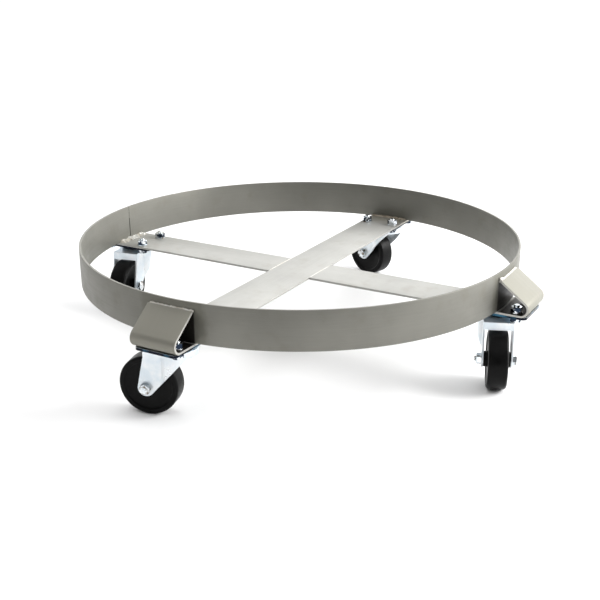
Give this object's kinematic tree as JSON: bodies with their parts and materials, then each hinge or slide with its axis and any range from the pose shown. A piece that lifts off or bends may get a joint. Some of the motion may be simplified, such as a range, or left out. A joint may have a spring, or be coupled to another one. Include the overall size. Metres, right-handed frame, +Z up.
{
  "type": "drum dolly",
  "caption": "Round drum dolly: a rolled flat-bar ring on a cross of flat-bar straps with folded ends, running on swivel plate casters",
  "frame": {"origin": "on the floor, under the middle of the ring", "axes": "+Z up; the long strap runs along Y with its front end at -Y, and the side straps meet it from +X (right) and -X (left)"},
  "size_m": [0.688, 0.688, 0.1524],
  "materials": {
    "stainless": "ground stainless flat bar, satin, with long fine rolling lines",
    "weld": "rough stainless weld metal, lightly brushed",
    "zinc": "bright zinc plate with a faint blue tint",
    "ball_steel": "bright ground steel",
    "wheel_plastic": "black moulded plastic, semi-gloss"
  },
  "bodies": {
    "root": {"ring_band": "stainless", "ring_seam_weld": "weld", "long_strap": "stainless", "right_strap": "stainless", "left_strap": "stainless", "crossing_weld": "weld", "ring_weld_front": "weld", "ring_weld_right": "weld", "ring_weld_rear": "weld", "ring_weld_left": "weld", "fold_weld_front": "weld", "fold_weld_right": "weld", "fold_weld_rear": "weld", "fold_weld_left": "weld", "plate_bolts": "zinc", "plate_washers": "zinc", "plate_nuts": "zinc", "top_plate_front": "zinc", "top_plate_right": "zinc", "top_plate_rear": "zinc", "top_plate_left": "zinc", "kingpin_front": "zinc", "kingpin_right": "zinc", "kingpin_rear": "zinc", "kingpin_left": "zinc", "upper_balls_front": "ball_steel", "upper_balls_right": "ball_steel", "upper_balls_rear": "ball_steel", "upper_balls_left": "ball_steel", "lower_balls_front": "ball_steel", "lower_balls_right": "ball_steel", "lower_balls_rear": "ball_steel", "lower_balls_left": "ball_steel", "track_cup_front": "zinc", "track_cup_right": "zinc", "track_cup_rear": "zinc", "track_cup_left": "zinc"},
    "swivel_front": {"fork_front": "zinc", "axle_bolt_front": "zinc", "axle_nut_front": "zinc", "axle_sleeve_front": "ball_steel"},
    "roller_front": {"wheel_front": "wheel_plastic"},
    "swivel_right": {"fork_right": "zinc", "axle_bolt_right": "zinc", "axle_nut_right": "zinc", "axle_sleeve_right": "ball_steel"},
    "roller_right": {"wheel_right": "wheel_plastic"},
    "swivel_rear": {"fork_rear": "zinc", "axle_bolt_rear": "zinc", "axle_nut_rear": "zinc", "axle_sleeve_rear": "ball_steel"},
    "roller_rear": {"wheel_rear": "wheel_plastic"},
    "swivel_left": {"fork_left": "zinc", "axle_bolt_left": "zinc", "axle_nut_left": "zinc", "axle_sleeve_left": "ball_steel"},
    "roller_left": {"wheel_left": "wheel_plastic"}
  },
  "joints": [
    {"name": "front_swivel", "type": "hinge", "parent": "root", "child": "swivel_front", "pos_m": [0, -0.2945, 0.08], "axis": [0, 0, 1], "continuous": true},
    {"name": "front_roll", "type": "hinge", "parent": "swivel_front", "child": "roller_front", "pos_m": [-0.03477, -0.30382, 0.0381], "axis": [0.2588, -0.9659, 0], "continuous": true},
    {"name": "right_swivel", "type": "hinge", "parent": "root", "child": "swivel_right", "pos_m": [0.2945, 0, 0.08], "axis": [0, 0, 1], "continuous": true},
    {"name": "right_roll", "type": "hinge", "parent": "swivel_right", "child": "roller_right", "pos_m": [0.30799, -0.03338, 0.0381], "axis": [0.9272, 0.3746, 0], "continuous": true},
    {"name": "rear_swivel", "type": "hinge", "parent": "root", "child": "swivel_rear", "pos_m": [0, 0.2945, 0.08], "axis": [0, 0, 1], "continuous": true},
    {"name": "rear_roll", "type": "hinge", "parent": "swivel_rear", "child": "roller_rear", "pos_m": [-0.03424, 0.30562, 0.0381], "axis": [-0.309, -0.9511, 0], "continuous": true},
    {"name": "left_swivel", "type": "hinge", "parent": "root", "child": "swivel_left", "pos_m": [-0.2945, 0, 0.08], "axis": [0, 0, 1], "continuous": true},
    {"name": "left_roll", "type": "hinge", "parent": "swivel_left", "child": "roller_left", "pos_m": [-0.28702, -0.03521, 0.0381], "axis": [0.9781, 0.2079, 0], "continuous": true}
  ]
}
